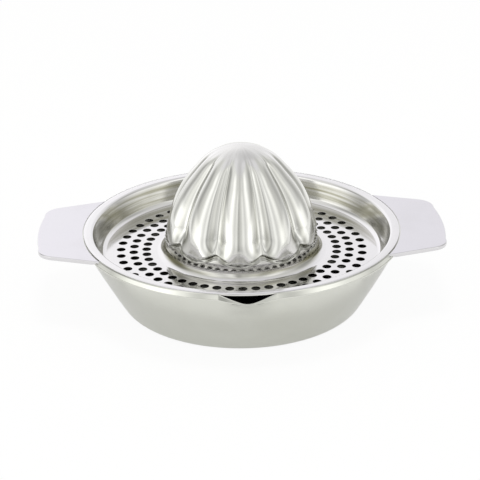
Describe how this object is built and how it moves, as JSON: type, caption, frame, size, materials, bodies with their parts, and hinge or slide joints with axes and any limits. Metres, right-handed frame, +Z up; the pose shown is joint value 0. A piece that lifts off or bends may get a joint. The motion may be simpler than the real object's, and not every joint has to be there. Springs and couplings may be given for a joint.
{
  "type": "citrus squeezer",
  "caption": "Citrus squeezer in polished steel: a conical bowl with wing handles and a pouring notch, and a lift-out perforated tray with a fluted reamer.",
  "frame": {"origin": "centre of the base ring that stands on the table", "axes": "+Z up along the bowl's axis, +X through one handle, -Y through the pouring notch"},
  "size_m": [0.1772, 0.14, 0.0716],
  "materials": {
    "bowl_steel": "polished stainless steel sheet",
    "handle_steel": "polished stainless steel sheet, edges turned down",
    "tray_steel": "mirror-polished stainless steel sheet, punched",
    "reamer_steel": "mirror-polished stainless steel sheet, pressed"
  },
  "bodies": {
    "bowl": {"bowl": "bowl_steel", "handle_right": "handle_steel", "handle_left": "handle_steel"},
    "insert": {"strainer_tray": "tray_steel", "reamer": "reamer_steel"}
  },
  "joints": [
    {"name": "insert_lift", "type": "slide", "parent": "bowl", "child": "insert", "axis": [0, 0, 1], "range_m": [0, 0.06]}
  ]
}
